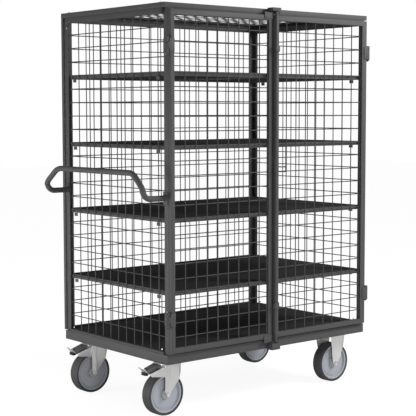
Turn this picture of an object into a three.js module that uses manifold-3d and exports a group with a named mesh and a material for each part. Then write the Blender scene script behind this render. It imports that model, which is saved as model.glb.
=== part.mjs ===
// Mesh security trolley: wire mesh cage with two doors, four shelves over a deck, castors and push handle.
// Millimetres, +Z up. The origin is on the floor under the middle of the bounding box.
// +X runs along the trolley away from the push handle, and the doors are on the -Y side.

import * as THREE from 'three';
import { mergeVertices } from 'three/addons/utils/BufferGeometryUtils.js';
import Module from 'manifold-3d';

const wasm = await Module();
wasm.setup();

// Overall sizes
const BASE_LENGTH = 1200;
const BASE_WIDTH = 788;
const BASE_HEIGHT = 41;
const CASTOR_HEIGHT = 243;
const BODY_HEIGHT = 1522;

// Clearance kept between pieces that rest on each other
const SEAT_GAP = 0.3;

// Base frame
const BASE_WALL = 3;
const BASE_FLANGE = 34;
const BEARER_WIDTH = 130;
const BEARER_THICK = 5;
const CROSS_RAIL_WIDTH = 40;

// Corner posts, unequal angle
const POST_INSET_X = 10;
const POST_INSET_Y = 1;
const POST_FRONT_FLANGE = 34;
const POST_END_FLANGE = 29.5;
const POST_WALL = 3;

// Roof frame
const ROOF_OVERHANG_X = 8;
const ROOF_DROP = 21.4;
const ROOF_FLANGE = 34;
const ROOF_WALL = 3;
const HEADER_DROP = 34;

// Wire mesh. The solid part carries every third wire.
const WIRE = 4.5;
const WIRE_PITCH = 60;
const WIRE_PITCH_UP = 62.3;
const WIRE_FIRST_UP = 115;
const WIRE_STRIDE = 3;
const END_WIRE_FIRST = 77;
const END_WIRE_LAST = 51;
const END_WIRES = Math.floor((BASE_WIDTH - END_WIRE_FIRST - END_WIRE_LAST) / WIRE_PITCH) + 1;
const END_BORDER = 17;
const END_BORDER_WIDTH = 11;
const END_TOP_BAR = 25;
const END_MESH_SEAT = 3.3;
const END_MESH_FOOT = 10;
const BACK_WIRE_FIRST = 34;
const BACK_WIRE_PITCH = 60.5;
const BACK_WIRES = Math.floor((BASE_LENGTH - BACK_WIRE_FIRST * 2) / BACK_WIRE_PITCH) + 1;
const ROOF_WIRE_FIRST_X = 60;
const ROOF_WIRES_X = Math.floor((BASE_LENGTH - ROOF_WIRE_FIRST_X * 2) / WIRE_PITCH) + 1;
const ROOF_WIRE_FIRST_Y = 64;
const ROOF_WIRES_Y = Math.floor((BASE_WIDTH - ROOF_WIRE_FIRST_Y * 2) / WIRE_PITCH) + 1;

// Doors and back panel
const DOOR_THICK = 17;
const DOOR_BOTTOM = 47.5;
const DOOR_TOP_DROP = 27.4;
const DOOR_TOP = BODY_HEIGHT - DOOR_TOP_DROP;
const DOOR_RAIL = 23;
const LEFT_DOOR_SHORT = 18;
const LEFT_DOOR_END = BASE_LENGTH / 2 - LEFT_DOOR_SHORT;
const DOOR_SPACE = 10;
const RIGHT_DOOR_START = LEFT_DOOR_END + DOOR_SPACE;
const LEFT_STILE = 20;
const RIGHT_STILE = 30;
const LEFT_WIRE_FIRST = 91;
const RIGHT_WIRE_INSET = 82.9;
const RIGHT_WIRE_FIRST = RIGHT_DOOR_START + RIGHT_WIRE_INSET;
const DOOR_WIRES = Math.floor((LEFT_DOOR_END - LEFT_STILE - LEFT_WIRE_FIRST) / WIRE_PITCH) + 1;
const WIRE_ROWS = Math.floor((DOOR_TOP - DOOR_RAIL - WIRE_FIRST_UP) / WIRE_PITCH_UP) + 1;
const DOOR_MESH_DEPTH = 6;
const DOOR_MESH_LAP = 6;
const BACK_INSET = 3.5;
const BACK_BOTTOM = 42.5;
const BACK_LOW_RAIL = 12;
const BACK_TOP_DROP = 17;
const BACK_TOP = BODY_HEIGHT - BACK_TOP_DROP;
const BACK_TOP_RAIL = 23;

// Shelves
const SHELF_TOPS = [310, 620, 928, 1238];
const SHELF_LIP = 19;
const SHELF_WALL = 3;
const SHELF_LEDGE = 25;
const SHELF_LEDGE_DROP = 12;
const SHELF_INSET_X = 21.5;
const SHELF_INSET_Y = 6;
const SHELF_RIB_WIDTH = 30;
const SHELF_RIB_DROP = 7;
const BOARD_THICK = 9;
const BOARD_PLAY = 0.5;
const SHELF_TAB_LENGTH = 9;
const SHELF_TAB_START = 2;

// Push handle
const HANDLE_RADIUS = 12.5;
const HANDLE_SIDES = 10;
const HANDLE_SEGMENTS = 44;
const HANDLE_POST_Y = 24;
const HANDLE_LOW = 707;
const HANDLE_REACH = 107;
const HANDLE_BEND_UP = 748;
const HANDLE_GRIP_X = 100;
const HANDLE_GRIP_Y = 102;
const HANDLE_GRIP_UP = 813;
const HANDLE_BEND = 38;
const HANDLE_SOFT_BEND = 30;
const FLANGE_HEIGHT = 56;
const FLANGE_WIDTH = 30;
const FLANGE_THICK = 4;
const FLANGE_EDGE = 4;

// Hinges
const HINGE_UP = 194;
const HINGE_DOWN = 177;
const HINGE_HEIGHTS = [HINGE_UP, BODY_HEIGHT - HINGE_DOWN];
const HINGE_REACH = 15;
const HINGE_PIN_Y = -8.5;
const BARREL_RADIUS = 10;
const PIN_RADIUS = 4;
const PIN_PLAY = 0.4;
const HINGE_SEGMENTS = 14;
const DOOR_KNUCKLE = 26;
const POST_KNUCKLE = 20;
const KNUCKLE_GAP = 0.5;
const LEAF_HEIGHT = 58;
const LEAF_THICK = 3;
const DOOR_LEAF_LENGTH = 19;
const DOOR_LEAF_OUT = 8;
const POST_LEAF_START = -1.5;
const POST_LEAF_END = 29;
const POST_LEAF_WEB = 3;
const PIN_TIP = 6;
const PIN_TIP_RADIUS = 3;

// Stop plates on the meeting corner of the left door
const STOP_WIDTH = 49;
const STOP_THICK = 3;
const STOP_LOWER = [30, 64];
const STOP_DROP = 14;
const STOP_HEIGHT = 30;
const STOP_UPPER = [BODY_HEIGHT - STOP_DROP - STOP_HEIGHT, BODY_HEIGHT - STOP_DROP];

// Rod lock
const ROD_INSET = 3;
const ROD_X = RIGHT_DOOR_START + ROD_INSET;
const ROD_Y = -28.5;
const ROD_RADIUS = 7.5;
const ROD_PLAY = 0.4;
const ROD_SEGMENTS = 16;
const ROD_FOOT = 28.5;
const ROD_DROP = 12.5;
const ROD_ENDS = [ROD_FOOT, BODY_HEIGHT - ROD_DROP];
const NOSE_REACH = 25;
const NOSE_WIDTH = 8;
const NOSE_HEIGHT = 7;
const NOSE_INSET = 1.5;
const NOSE_LOWER = [ROD_ENDS[0] + NOSE_INSET, ROD_ENDS[0] + NOSE_INSET + NOSE_HEIGHT];
const NOSE_UPPER = [ROD_ENDS[1] - NOSE_INSET - NOSE_HEIGHT, ROD_ENDS[1] - NOSE_INSET];
const GUIDE_UP = 196;
const GUIDE_DOWN = 175;
const GUIDE_HEIGHTS = [GUIDE_UP, BODY_HEIGHT - GUIDE_DOWN];
const GUIDE_HEIGHT = 24;
const GUIDE_WALL = 3.6;
const GUIDE_FOOT = 16;
const KEEPER_BEFORE_ROD = 29;
const KEEPER_PAST_ROD = 21;
const KEEPER_X = [ROD_X - KEEPER_BEFORE_ROD, ROD_X + KEEPER_PAST_ROD];
const KEEPER_FRONT = -37;
const KEEPER_LOWER = [-4, 26];
const KEEPER_UPPER_DROP = 10;
const KEEPER_UPPER_RISE = 5;
const KEEPER_UPPER = [BODY_HEIGHT - KEEPER_UPPER_DROP, BODY_HEIGHT + KEEPER_UPPER_RISE];
const KEEPER_LIP_INSET = 9.5;
const KEEPER_LIP_START = ROD_X + KEEPER_LIP_INSET;
const KEEPER_LIP_THICK = 4;
const KEEPER_LIP_RISE = 13;
const KEEPER_WALL = 4;
const KEEPER_HOLLOW = 8;

// Lock lever, turned outwards by this angle from the door
const LEVER_ANGLE = -40;
const LEVER_OFFSET = 44;
const LEVER_RANGE = [799, 912];
const LEVER_BAR_WIDTH = 10;
const LEVER_BAR_THICK = 7;
const LEVER_ARM = 5;
const LEVER_ARM_HEIGHTS = [799, 820];
const COLLAR_RADIUS = 10.9;
const COLLAR_RANGE = [797, 827];

// Castors
const CASTOR_INSET_X = 110;
const CASTOR_INSET_Y = 113;
const CASTOR_TRAIL = 50;
const CASTOR_HEAD = 55;
const WHEEL_RADIUS = (CASTOR_HEIGHT - CASTOR_HEAD) / 2;
const TYRE_WIDTH = 57;
const TYRE_DEPTH = 11;
const TYRE_INNER = WHEEL_RADIUS - TYRE_DEPTH;
const TYRE_EDGE = 4;
const TYRE_SHOULDER = 5;
const WHEEL_SEGMENTS = 24;
const RIM_WIDTH = 51;
const RIM_LIP = 8;
const RIM_WEB = 34;
const HUB_RADIUS = 22;
const HUB_WIDTH = 58;
const HUB_BORE = 6.4;
const AXLE_RADIUS = 6;
const AXLE_HEAD_RADIUS = 8;
const AXLE_HEAD = 6;
const AXLE_SEGMENTS = 12;
const FORK_GAP = 60;
const FORK_PLATE = 4;
const CROWN_THICK = 5;
const PLATE_LENGTH = 120;
const PLATE_WIDTH = 90;
const PLATE_THICK = 5;
const RACE_RADIUS = 36;
const RACE_THICK = 8;
const RACE_SEGMENTS = 24;
const CROWN_START = -78;
const CROWN_END = 32;
const CROWN_BOSS_RADIUS = 32;
const SWIVEL_GAP = 0.5;

// Leg outlines: the foot as distance and height from the axle, the head as distance from the axle
// along X and drop below the underside of the base. A fixed castor's back leg is turned end for end.
const SWIVEL_FOOT = [[-13, 0], [-6, -9], [8, -9], [16, 3]];
const SWIVEL_HEAD = [[64, 81], [75, 57], [79, 14], [0, 14], [-22, 24], [-94, 48], [-85, 61], [-13, 70]];
const FIXED_FOOT = [[-17, 4], [-8, -14], [8, -14], [18, 4]];
const FIXED_HEAD = [[44, 99], [81, 26], [81, 9], [52, 5], [-14, 5], [-21, 99]];

// Brake pedal, also from the axle and from the underside of the base
const PEDAL_OUTLINE = [
  [-32, 32], [-38, 27], [-62, 47], [-109, 19], [-117, 22], [-116, 29], [-70, 59], [-60, 60], [-34, 40],
];
const PEDAL_WIDTH = 44;
const PEDAL_PIVOT = [-40, 35];
const PEDAL_PIN = 4;

// Colours
const PAINT = 0x4b4d4f;
const PAINT_MESH = 0x434547;
const BOARD = 0x1f2021;
const ZINC = 0xc9c9c4;
const RIM_GREY = 0x8d9099;
const TYRE_GREY = 0x3f4043;
const PEDAL_BLACK = 0x232425;

// Pieces are drawn from the base's left front lower corner, then moved onto the part's origin
const HANDLE_TIP = HANDLE_REACH + HANDLE_RADIUS;
const BARREL_TIP = HINGE_REACH - POST_INSET_X + BARREL_RADIUS;
const LEVER_TURN = THREE.MathUtils.degToRad(LEVER_ANGLE);
const LEVER_REACH = LEVER_OFFSET + LEVER_BAR_THICK / 2;
const FRONT_TIP = ROD_Y + LEVER_REACH * Math.sin(LEVER_TURN) - LEVER_BAR_WIDTH / 2 * Math.cos(LEVER_TURN);
const BACK_PANEL_Y = BASE_WIDTH - POST_INSET_Y + SEAT_GAP;
const BACK_TIP = BACK_PANEL_Y + DOOR_THICK;
const SHIFT_X = -(BASE_LENGTH + BARREL_TIP - HANDLE_TIP) / 2;
const SHIFT_Y = -(FRONT_TIP + BACK_TIP) / 2;
const SHIFT_Z = CASTOR_HEIGHT;

const POST_TOP = BODY_HEIGHT - ROOF_DROP - SEAT_GAP;

// Shapes

// A block between exact limits, so that blocks sharing a face join without slivers.
function box(x, y, z) {
  const shape = new THREE.BoxGeometry(1, 1, 1);
  const corners = shape.attributes.position;
  const limit = (range, side) => (side < 0 ? range[0] : range[1]);
  for (let i = 0; i < corners.count; i += 1) {
    corners.setXYZ(i, limit(x, corners.getX(i)), limit(y, corners.getY(i)), limit(z, corners.getZ(i)));
  }
  return shape;
}

function outline(points) {
  return new THREE.Shape(points.map(([u, v]) => new THREE.Vector2(u, v)));
}

function rectangle(u, v) {
  return [[u[0], v[0]], [u[1], v[0]], [u[1], v[1]], [u[0], v[1]]];
}

// Extrudes an outline drawn in one plane along that plane's normal, between two positions.
function slab(plane, points, span, holes = []) {
  const shape = outline(points);
  for (const hole of holes) {
    shape.holes.push(new THREE.Path(outline(hole).getPoints()));
  }
  const solid = new THREE.ExtrudeGeometry(shape, { depth: span[1] - span[0], bevelEnabled: false });
  const turn = new THREE.Matrix4();
  if (plane === 'xz') {
    turn.makeBasis(new THREE.Vector3(1, 0, 0), new THREE.Vector3(0, 0, 1), new THREE.Vector3(0, -1, 0));
    return solid.applyMatrix4(turn).translate(0, span[1], 0);
  }
  if (plane === 'yz') {
    turn.makeBasis(new THREE.Vector3(0, 1, 0), new THREE.Vector3(0, 0, 1), new THREE.Vector3(1, 0, 0));
    return solid.applyMatrix4(turn).translate(span[0], 0, 0);
  }
  return solid.translate(0, 0, span[0]);
}

// Turns a closed profile of radius and height about the vertical axis.
function turned(profile, segments) {
  const points = profile.map(([r, h]) => new THREE.Vector2(r, h));
  points.push(points[0].clone());
  return new THREE.LatheGeometry(points, segments).rotateX(Math.PI / 2);
}

function cylinder(radius, span, segments) {
  const solid = new THREE.CylinderGeometry(radius, radius, span[1] - span[0], segments);
  return solid.rotateX(Math.PI / 2).translate(0, 0, (span[0] + span[1]) / 2);
}

function toSolid(geometry) {
  const plain = geometry.clone();
  plain.deleteAttribute('normal');
  plain.deleteAttribute('uv');
  const welded = mergeVertices(plain);
  const mesh = new wasm.Mesh({
    numProp: 3,
    vertProperties: new Float32Array(welded.attributes.position.array),
    triVerts: new Uint32Array(welded.index.array),
  });
  return new wasm.Manifold(mesh);
}

function toGeometry(solid) {
  const mesh = solid.getMesh();
  const geometry = new THREE.BufferGeometry();
  geometry.setAttribute('position', new THREE.BufferAttribute(new Float32Array(mesh.vertProperties), 3));
  geometry.setIndex(new THREE.BufferAttribute(new Uint32Array(mesh.triVerts), 1));
  return geometry;
}

function join(pieces) {
  return toGeometry(pieces.map(toSolid).reduce((sum, piece) => sum.add(piece)));
}

function cut(body, tools) {
  return toGeometry(tools.map(toSolid).reduce((rest, tool) => rest.subtract(tool), toSolid(body)));
}

// A flat wire grid: a plate of wire thickness with an opening cut between each pair of wires.
function grid(plane, u, v, border, wiresU, wiresV, span) {
  const stops = (start, wires, end) => [start, ...wires.flatMap((w) => [w - WIRE / 2, w + WIRE / 2]), end];
  const edgesU = stops(u[0] + border.left, wiresU, u[1] - border.right);
  const edgesV = stops(v[0] + border.bottom, wiresV, v[1] - border.top);
  const block = (rangeU, rangeV, depth) => {
    if (plane === 'xz') {
      return box(rangeU, depth, rangeV);
    }
    return plane === 'yz' ? box(depth, rangeU, rangeV) : box(rangeU, rangeV, depth);
  };
  const through = [span[0] - WIRE, span[1] + WIRE];
  const openings = [];
  for (let i = 0; i < edgesU.length; i += 2) {
    for (let j = 0; j < edgesV.length; j += 2) {
      openings.push(block([edgesU[i], edgesU[i + 1]], [edgesV[j], edgesV[j + 1]], through));
    }
  }
  return cut(block(u, v, span), openings);
}

// Every third wire of a row that starts at one position and repeats at one pitch.
function wireRow(first, pitch, count) {
  const row = [];
  for (let i = 0; i < count; i += WIRE_STRIDE) {
    row.push(first + pitch * i);
  }
  return row;
}

// Assembly

const trolley = new THREE.Group();
trolley.name = 'mesh_security_trolley';

function addPart(name, geometry, color, roughness, metalness) {
  geometry.translate(SHIFT_X, SHIFT_Y, SHIFT_Z);
  const mesh = new THREE.Mesh(geometry, new THREE.MeshStandardMaterial({ color, roughness, metalness }));
  mesh.name = name;
  trolley.add(mesh);
}

function addPainted(name, geometry) {
  addPart(name, geometry, PAINT, 0.5, 0.2);
}

function addWire(name, geometry) {
  addPart(name, geometry, PAINT_MESH, 0.5, 0.2);
}

const mirrorX = (range) => [BASE_LENGTH - range[1], BASE_LENGTH - range[0]];
const mirrorY = (range) => [BASE_WIDTH - range[1], BASE_WIDTH - range[0]];
const upRows = wireRow(WIRE_FIRST_UP, WIRE_PITCH_UP, WIRE_ROWS);

// Base frame: rim channel open to the inside, two castor bearers and a cross rail
function baseFrame() {
  const x = [0, BASE_LENGTH];
  const y = [0, BASE_WIDTH];
  const inset = (range, by) => [range[0] + by, range[1] - by];
  const band = (width, z) => slab('xy', rectangle(x, y), z, [rectangle(inset(x, width), inset(y, width))]);
  const bearer = (centre) => [centre - BEARER_WIDTH / 2, centre + BEARER_WIDTH / 2];
  const underFlange = [BASE_WALL, BASE_HEIGHT - BASE_WALL];
  const innerY = inset(y, BASE_WALL / 2);
  return join([
    band(BASE_WALL, [0, BASE_HEIGHT]),
    band(BASE_FLANGE, [0, BASE_WALL]),
    band(BASE_FLANGE, [BASE_HEIGHT - BASE_WALL, BASE_HEIGHT]),
    box(bearer(CASTOR_INSET_X), innerY, [0, BEARER_THICK]),
    box(bearer(BASE_LENGTH - CASTOR_INSET_X), innerY, [0, BEARER_THICK]),
    box([(BASE_LENGTH - CROSS_RAIL_WIDTH) / 2, (BASE_LENGTH + CROSS_RAIL_WIDTH) / 2], innerY, underFlange),
  ]);
}
addPainted('base_frame', baseFrame());

const boardSpanX = [SHELF_INSET_X + SHELF_WALL + BOARD_PLAY, BASE_LENGTH - SHELF_INSET_X - SHELF_WALL - BOARD_PLAY];
const boardSpanY = [SHELF_INSET_Y + SHELF_WALL + BOARD_PLAY, BASE_WIDTH - SHELF_INSET_Y - SHELF_WALL - BOARD_PLAY];

function addBoard(name, underside) {
  addPart(name, box(boardSpanX, boardSpanY, [underside, underside + BOARD_THICK]), BOARD, 0.6, 0);
}
addBoard('deck_board', BASE_HEIGHT + SEAT_GAP);

// Corner posts: one outline mirrored into the four corners
function postOutline(right, back) {
  const x0 = POST_INSET_X;
  const y0 = POST_INSET_Y;
  const points = [
    [x0, y0],
    [x0 + POST_FRONT_FLANGE, y0],
    [x0 + POST_FRONT_FLANGE, y0 + POST_WALL],
    [x0 + POST_WALL, y0 + POST_WALL],
    [x0 + POST_WALL, y0 + POST_END_FLANGE],
    [x0, y0 + POST_END_FLANGE],
  ];
  return points.map(([x, y]) => [right ? BASE_LENGTH - x : x, back ? BASE_WIDTH - y : y]);
}
for (const [name, right, back] of [
  ['post_front_left', false, false],
  ['post_front_right', true, false],
  ['post_back_left', false, true],
  ['post_back_right', true, true],
]) {
  addPainted(name, slab('xy', postOutline(right, back), [BASE_HEIGHT + SEAT_GAP, POST_TOP]));
}

// Roof frame: angle ring with its flange turned inwards at the top, and a deeper header behind the doors
const roofX = [-ROOF_OVERHANG_X, BASE_LENGTH + ROOF_OVERHANG_X];
const roofY = [POST_INSET_Y, BASE_WIDTH - POST_INSET_Y];
function roofFrame() {
  const band = (width, z) => {
    const inner = rectangle([roofX[0] + width, roofX[1] - width], [roofY[0] + width, roofY[1] - width]);
    return slab('xy', rectangle(roofX, roofY), z, [inner]);
  };
  const headerEnd = POST_INSET_X + POST_FRONT_FLANGE + SEAT_GAP;
  return join([
    band(ROOF_WALL, [BODY_HEIGHT - ROOF_DROP, BODY_HEIGHT]),
    band(ROOF_FLANGE, [BODY_HEIGHT - ROOF_WALL, BODY_HEIGHT]),
    box([headerEnd, BASE_LENGTH - headerEnd], [roofY[0], roofY[0] + ROOF_WALL],
      [BODY_HEIGHT - HEADER_DROP, BODY_HEIGHT - ROOF_WALL]),
  ]);
}
addPainted('roof_frame', roofFrame());

// Roof mesh: welded under the roof flange
const roofMeshTop = BODY_HEIGHT - ROOF_WALL - SEAT_GAP;
const roofMeshX = [POST_INSET_X, BASE_LENGTH - POST_INSET_X];
const roofMeshY = [roofY[0] + ROOF_WALL + SEAT_GAP, roofY[1] - ROOF_WALL - SEAT_GAP];
addWire('roof_mesh', grid(
  'xy', roofMeshX, roofMeshY,
  { left: ROOF_FLANGE, right: ROOF_FLANGE, bottom: ROOF_FLANGE, top: ROOF_FLANGE },
  wireRow(ROOF_WIRE_FIRST_X, WIRE_PITCH, ROOF_WIRES_X), wireRow(ROOF_WIRE_FIRST_Y, WIRE_PITCH, ROOF_WIRES_Y),
  [roofMeshTop - WIRE, roofMeshTop],
));

// End meshes: inside the end flanges of the posts, with a flat bar along the top
const endMeshX = [POST_INSET_X + END_MESH_SEAT, POST_INSET_X + END_MESH_SEAT + WIRE];
const endMeshY = [END_BORDER, BASE_WIDTH - END_BORDER];
const endMeshZ = [BASE_HEIGHT + SEAT_GAP, POST_TOP];
function endMesh(span) {
  return grid(
    'yz', endMeshY, endMeshZ,
    { left: END_BORDER_WIDTH, right: END_BORDER_WIDTH, bottom: END_MESH_FOOT, top: END_TOP_BAR },
    wireRow(END_WIRE_FIRST, WIRE_PITCH, END_WIRES), upRows, span,
  );
}
addWire('end_mesh_left', endMesh(endMeshX));
addWire('end_mesh_right', endMesh(mirrorX(endMeshX)));

// Framed mesh panels: the back panel and both doors. Each has its outer span and its clear span.
const doorSpans = {
  outer: [DOOR_BOTTOM, DOOR_TOP],
  clear: [DOOR_BOTTOM + DOOR_RAIL, DOOR_TOP - DOOR_RAIL],
};
const backSpans = {
  outer: [BACK_BOTTOM, BACK_TOP],
  clear: [BACK_BOTTOM + BACK_LOW_RAIL, BACK_TOP - BACK_TOP_RAIL],
};
const grown = (range, by) => [range[0] - by, range[1] + by];

function panelMesh(clearX, clearZ, y, wires) {
  const lap = DOOR_MESH_LAP;
  const border = { left: lap, right: lap, bottom: lap, top: lap };
  return grid('xz', grown(clearX, lap), grown(clearZ, lap), border, wires, upRows, y);
}

// The frame has a groove that takes the edge of the mesh, cut a little larger than the mesh.
function addPanel(frameName, meshName, x, y, meshY, spans, stile, wires) {
  const clearX = grown(x, -stile);
  const frame = slab('xz', rectangle(x, spans.outer), y, [rectangle(clearX, spans.clear)]);
  const reach = DOOR_MESH_LAP + SEAT_GAP;
  const groove = box(grown(clearX, reach), grown(meshY, SEAT_GAP), grown(spans.clear, reach));
  addPainted(frameName, cut(frame, [groove]));
  addWire(meshName, panelMesh(clearX, spans.clear, meshY, wires));
}
const doorY = [-DOOR_THICK, 0];
const doorMeshY = [-DOOR_THICK + DOOR_MESH_DEPTH, -DOOR_THICK + DOOR_MESH_DEPTH + WIRE];
const backY = [BACK_PANEL_Y, BACK_TIP];
const backMeshY = [BACK_TIP - DOOR_MESH_DEPTH - WIRE, BACK_TIP - DOOR_MESH_DEPTH];
const leftDoorX = [POST_INSET_X, LEFT_DOOR_END];
const rightDoorX = [RIGHT_DOOR_START, BASE_LENGTH - POST_INSET_X];
addPanel('back_panel_frame', 'back_panel_mesh', [BACK_INSET, BASE_LENGTH - BACK_INSET], backY, backMeshY,
  backSpans, LEFT_STILE, wireRow(BACK_WIRE_FIRST, BACK_WIRE_PITCH, BACK_WIRES));
addPanel('door_left_frame', 'door_left_mesh', leftDoorX, doorY, doorMeshY,
  doorSpans, LEFT_STILE, wireRow(LEFT_WIRE_FIRST, WIRE_PITCH, DOOR_WIRES));
addPanel('door_right_frame', 'door_right_mesh', rightDoorX, doorY, doorMeshY,
  doorSpans, RIGHT_STILE, wireRow(RIGHT_WIRE_FIRST, WIRE_PITCH, DOOR_WIRES));

// Shelves: lip, ledge, one rib under the board and a tab to each post
function shelfFrame(top) {
  const x = [SHELF_INSET_X, BASE_LENGTH - SHELF_INSET_X];
  const y = [SHELF_INSET_Y, BASE_WIDTH - SHELF_INSET_Y];
  const ledgeTop = top - SHELF_LEDGE_DROP;
  const band = (width, z) => {
    const inner = rectangle([x[0] + width, x[1] - width], [y[0] + width, y[1] - width]);
    return slab('xy', rectangle(x, y), z, [inner]);
  };
  const tabX = [POST_INSET_X + POST_WALL + SEAT_GAP, x[0] + SHELF_WALL / 2];
  const tabY = [y[0] + SHELF_TAB_START, y[0] + SHELF_TAB_START + SHELF_TAB_LENGTH];
  const tabZ = [top - SHELF_LIP, top - SHELF_LEDGE_DROP];
  const pieces = [
    band(SHELF_WALL, [top - SHELF_LIP, top]),
    band(SHELF_LEDGE, [ledgeTop - SHELF_WALL, ledgeTop]),
    box(
      [(BASE_LENGTH - SHELF_RIB_WIDTH) / 2, (BASE_LENGTH + SHELF_RIB_WIDTH) / 2],
      [y[0] + SHELF_WALL / 2, y[1] - SHELF_WALL / 2],
      [ledgeTop - SHELF_RIB_DROP, ledgeTop],
    ),
  ];
  for (const tabSideX of [tabX, mirrorX(tabX)]) {
    for (const tabSideY of [tabY, mirrorY(tabY)]) {
      pieces.push(box(tabSideX, tabSideY, tabZ));
    }
  }
  return join(pieces);
}
SHELF_TOPS.forEach((top, i) => {
  addPainted(`shelf_${i + 1}_frame`, shelfFrame(top));
  addBoard(`shelf_${i + 1}_board`, top - SHELF_LEDGE_DROP + SEAT_GAP);
});

// Push handle: one bent tube with a welded flange at each end
function handlePath() {
  const start = POST_INSET_X - FLANGE_THICK;
  const half = [
    [start, HANDLE_POST_Y, HANDLE_LOW, 0],
    [-HANDLE_REACH, HANDLE_POST_Y, HANDLE_LOW, HANDLE_BEND],
    [-HANDLE_REACH, HANDLE_POST_Y, HANDLE_BEND_UP, HANDLE_SOFT_BEND / 2],
    [-HANDLE_GRIP_X, HANDLE_GRIP_Y, HANDLE_GRIP_UP, HANDLE_SOFT_BEND],
  ];
  const other = half.map(([x, y, z, bend]) => [x, BASE_WIDTH - y, z, bend]).reverse();
  const stops = [...half, ...other];
  const corner = stops.map(([x, y, z]) => new THREE.Vector3(x, y, z));
  const path = new THREE.CurvePath();
  let from = corner[0];
  for (let i = 1; i < corner.length - 1; i += 1) {
    const bend = stops[i][3];
    const enter = corner[i].clone().add(corner[i - 1].clone().sub(corner[i]).setLength(bend));
    const leave = corner[i].clone().add(corner[i + 1].clone().sub(corner[i]).setLength(bend));
    path.add(new THREE.LineCurve3(from, enter));
    path.add(new THREE.QuadraticBezierCurve3(enter, corner[i], leave));
    from = leave;
  }
  path.add(new THREE.LineCurve3(from, corner[corner.length - 1]));
  return path;
}

function pushHandle() {
  const round = [];
  for (let i = 0; i < HANDLE_SIDES; i += 1) {
    const turn = i / HANDLE_SIDES * Math.PI * 2;
    round.push([HANDLE_RADIUS * Math.cos(turn), HANDLE_RADIUS * Math.sin(turn)]);
  }
  const tube = new THREE.ExtrudeGeometry(outline(round), {
    steps: HANDLE_SEGMENTS, extrudePath: handlePath(), bevelEnabled: false,
  });
  const flangeX = [POST_INSET_X - SEAT_GAP - FLANGE_THICK, POST_INSET_X - SEAT_GAP];
  const flangeY = [FLANGE_EDGE, FLANGE_EDGE + FLANGE_WIDTH];
  const flangeZ = [HANDLE_LOW - FLANGE_HEIGHT / 2, HANDLE_LOW + FLANGE_HEIGHT / 2];
  return join([tube, box(flangeX, flangeY, flangeZ), box(flangeX, mirrorY(flangeY), flangeZ)]);
}
addPainted('push_handle', pushHandle());

// Hinges: a leaf with two knuckles and the pin on the post, a leaf with one knuckle on the door
const barrelHalf = DOOR_KNUCKLE / 2 + KNUCKLE_GAP + POST_KNUCKLE;

function postLeaf(pinX, side) {
  const outer = side > 0 ? BASE_LENGTH - POST_INSET_X + SEAT_GAP : POST_INSET_X - SEAT_GAP;
  const span = (a, b) => (a < b ? [a, b] : [b, a]);
  const plateX = span(outer, outer + side * LEAF_THICK);
  const pieces = [
    box(plateX, [POST_LEAF_START, POST_LEAF_END], [-LEAF_HEIGHT / 2, LEAF_HEIGHT / 2]),
    cylinder(PIN_RADIUS, [-barrelHalf, barrelHalf], HINGE_SEGMENTS).translate(pinX, HINGE_PIN_Y, 0),
    turned([
      [0, -barrelHalf - PIN_TIP], [PIN_TIP_RADIUS, -barrelHalf - PIN_TIP],
      [BARREL_RADIUS - PIN_TIP_RADIUS, -barrelHalf], [0, -barrelHalf],
    ], HINGE_SEGMENTS).translate(pinX, HINGE_PIN_Y, 0),
  ];
  const inner = DOOR_KNUCKLE / 2 + KNUCKLE_GAP;
  for (const z of [[inner, barrelHalf], [-barrelHalf, -inner]]) {
    pieces.push(cylinder(BARREL_RADIUS, z, HINGE_SEGMENTS).translate(pinX, HINGE_PIN_Y, 0));
    pieces.push(box(span(outer, pinX), [POST_LEAF_START, POST_LEAF_START + POST_LEAF_WEB],
      [Math.max(z[0], -LEAF_HEIGHT / 2), Math.min(z[1], LEAF_HEIGHT / 2)]));
  }
  return join(pieces);
}

function doorLeaf(pinX, edge, side) {
  const front = [-DOOR_THICK - SEAT_GAP - LEAF_THICK, -DOOR_THICK - SEAT_GAP];
  const span = (a, b) => (a < b ? [a, b] : [b, a]);
  const knuckle = [-DOOR_KNUCKLE / 2, DOOR_KNUCKLE / 2];
  const solid = join([
    box(span(edge - side * DOOR_LEAF_LENGTH, edge + side * DOOR_LEAF_OUT), front, [-LEAF_HEIGHT / 2, LEAF_HEIGHT / 2]),
    box(span(edge, pinX), front, knuckle),
    cylinder(BARREL_RADIUS, knuckle, HINGE_SEGMENTS).translate(pinX, HINGE_PIN_Y, 0),
  ]);
  const bore = [knuckle[0] - KNUCKLE_GAP, knuckle[1] + KNUCKLE_GAP];
  return cut(solid, [cylinder(PIN_RADIUS + PIN_PLAY, bore, HINGE_SEGMENTS).translate(pinX, HINGE_PIN_Y, 0)]);
}

for (const [label, edge, side] of [['left', leftDoorX[0], -1], ['right', rightDoorX[1], 1]]) {
  const pinX = edge + side * HINGE_REACH;
  HINGE_HEIGHTS.forEach((height, i) => {
    const place = i === 0 ? 'lower' : 'upper';
    addPainted(`hinge_${label}_${place}_post_leaf`, postLeaf(pinX, side).translate(0, 0, height));
    addPainted(`hinge_${label}_${place}_door_leaf`, doorLeaf(pinX, edge, side).translate(0, 0, height));
  });
}

// Stop plates on the left door
const stopX = [LEFT_DOOR_END - STOP_WIDTH, LEFT_DOOR_END];
const stopY = [-DOOR_THICK - SEAT_GAP - STOP_THICK, -DOOR_THICK - SEAT_GAP];
addPainted('door_stop_plate_lower', box(stopX, stopY, STOP_LOWER));
addPainted('door_stop_plate_upper', box(stopX, stopY, STOP_UPPER));

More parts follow.
